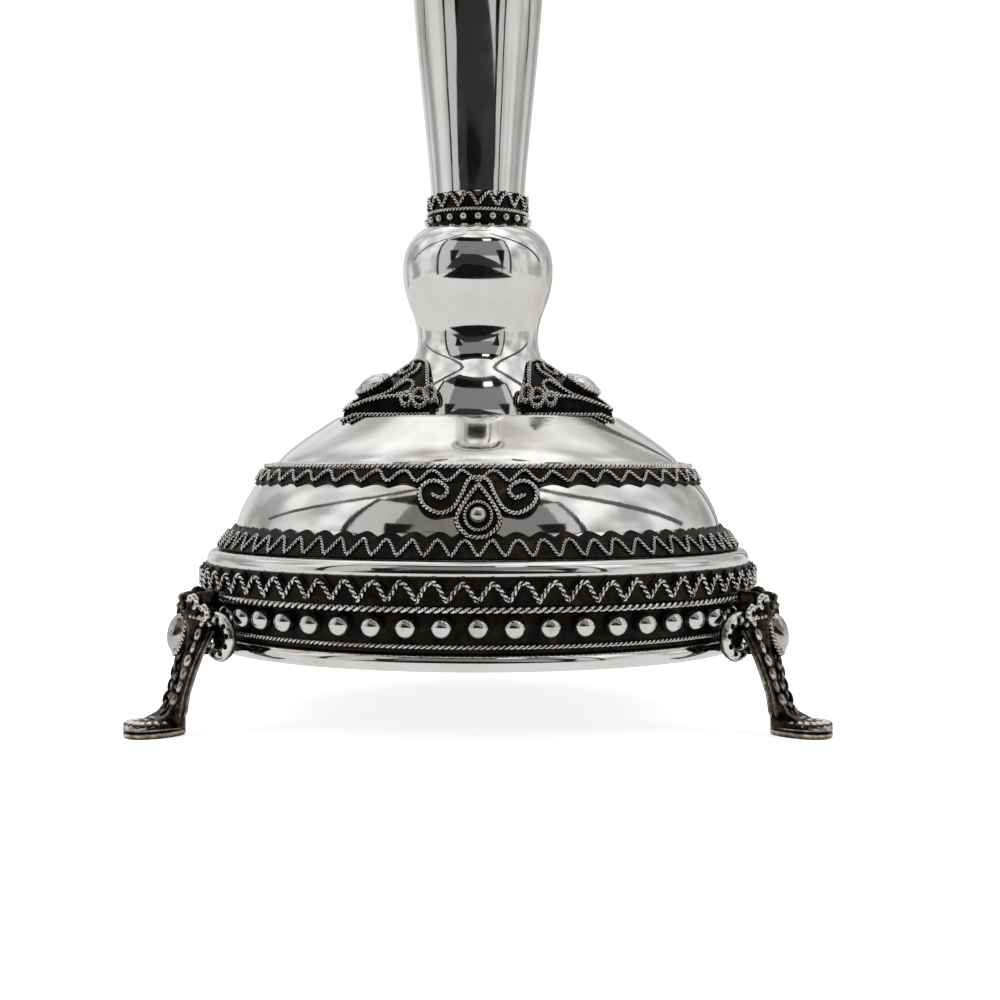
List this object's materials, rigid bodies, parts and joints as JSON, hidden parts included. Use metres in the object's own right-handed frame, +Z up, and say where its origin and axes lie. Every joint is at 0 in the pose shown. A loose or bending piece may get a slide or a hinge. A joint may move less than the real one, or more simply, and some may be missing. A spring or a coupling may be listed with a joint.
{
  "type": "candlestick",
  "caption": "Silver candlestick with a stepped filigree dome base on scroll feet, a knopped tapered stem and a lift-out drip pan over a socket for a household candle.",
  "frame": {"origin": "on the axis of the column, at the level of the floor that the three feet stand on", "axes": "+Z up along the column; -Y is the front, with a teardrop ornament there and a foot to each side of it; one foot points to +Y"},
  "size_m": [0.15, 0.1508, 0.2276],
  "materials": {
    "polished_silver": "polished silver with fine wear marks",
    "oxidised_silver": "blackened silver",
    "wire_silver": "bright twisted wire, dark in the twist",
    "cast_silver": "cast silver, blackened in the hollows",
    "rod_steel": "plain steel"
  },
  "bodies": {
    "root": {"base_rim": "polished_silver", "rim_wire": "wire_silver", "base_drum": "oxidised_silver", "band_beads": "polished_silver", "belt_wire": "wire_silver", "lower_gallery": "oxidised_silver", "lower_wave_wire": "wire_silver", "shoulder_moulding": "polished_silver", "middle_dome": "polished_silver", "middle_gallery": "oxidised_silver", "middle_wave_wire": "wire_silver", "teardrop_plates": "oxidised_silver", "teardrop_wires": "wire_silver", "teardrop_beads": "polished_silver", "upper_gallery": "oxidised_silver", "upper_gallery_wire": "wire_silver", "upper_wave_wire": "wire_silver", "upper_dome": "polished_silver", "knop_neck": "polished_silver", "plaque_plates": "oxidised_silver", "plaque_wires": "wire_silver", "plaque_bezels": "wire_silver", "plaque_cabochons": "polished_silver", "stem_collar": "oxidised_silver", "collar_beads": "polished_silver", "collar_wire": "wire_silver", "collar_wave_wire": "wire_silver", "stem": "polished_silver", "upper_collar": "oxidised_silver", "upper_collar_beads": "polished_silver", "upper_collar_wire": "wire_silver", "upper_collar_waves": "wire_silver", "cup_spool": "polished_silver", "candle_cup": "polished_silver", "cup_band": "oxidised_silver", "cup_band_wires": "wire_silver", "cup_wave_wire": "wire_silver", "tie_rod": "rod_steel", "rod_washer": "rod_steel", "rod_nut": "rod_steel", "top_nut": "rod_steel", "foot_left": "cast_silver", "foot_right": "cast_silver", "foot_back": "cast_silver", "foot_bezels": "wire_silver", "foot_cabochons": "polished_silver"},
    "drip_pan": {"drip_pan": "polished_silver", "pan_rim_wire": "wire_silver", "candle_liner": "polished_silver"}
  },
  "joints": [
    {"name": "pan_lift", "type": "slide", "parent": "root", "child": "drip_pan", "axis": [0, 0, 1], "range_m": [0, 0.05]}
  ]
}
